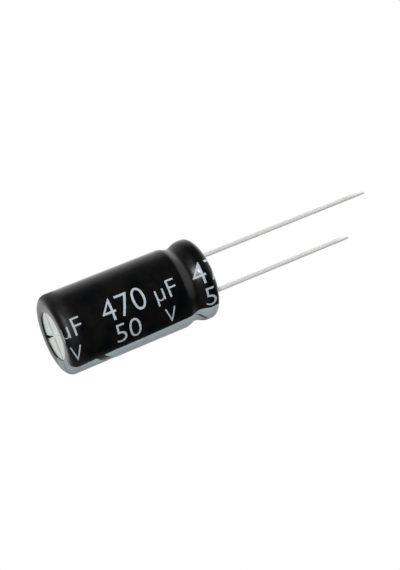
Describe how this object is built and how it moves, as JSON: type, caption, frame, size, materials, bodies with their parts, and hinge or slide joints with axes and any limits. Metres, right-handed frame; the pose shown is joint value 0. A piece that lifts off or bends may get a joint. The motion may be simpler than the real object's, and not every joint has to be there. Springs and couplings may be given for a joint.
{
  "type": "radial electrolytic capacitor",
  "caption": "Round sleeved aluminium capacitor with a scored vent head, a beaded and curled mouth, and one long and one short wire lead.",
  "frame": {"origin": "centre of the sleeve's lip at the vented head, the plane the part stands on", "axes": "+Z along the can towards the leads; +X from the axis to the short negative lead"},
  "size_m": [0.0104, 0.0104, 0.0463],
  "materials": {
    "sleeve_film": "black heat-shrunk polyester film, soft gloss",
    "print_ink": "silver-grey printing ink",
    "can_aluminium": "matt drawn aluminium",
    "seal_rubber": "moulded black rubber",
    "winding_paper": "electrolyte-soaked capacitor paper over foil",
    "closing_tape": "clear yellowish tape",
    "tab_aluminium": "bright pressed aluminium",
    "lead_tin": "tinned copper-clad steel wire"
  },
  "bodies": {
    "root": {"sleeve": "sleeve_film", "polarity_stripe": "print_ink", "can": "can_aluminium", "rubber_seal": "seal_rubber", "winding": "winding_paper", "winding_tape": "closing_tape", "anode_tab": "tab_aluminium", "cathode_tab": "tab_aluminium", "anode_lead": "lead_tin", "cathode_lead": "lead_tin"}
  },
  "joints": []
}
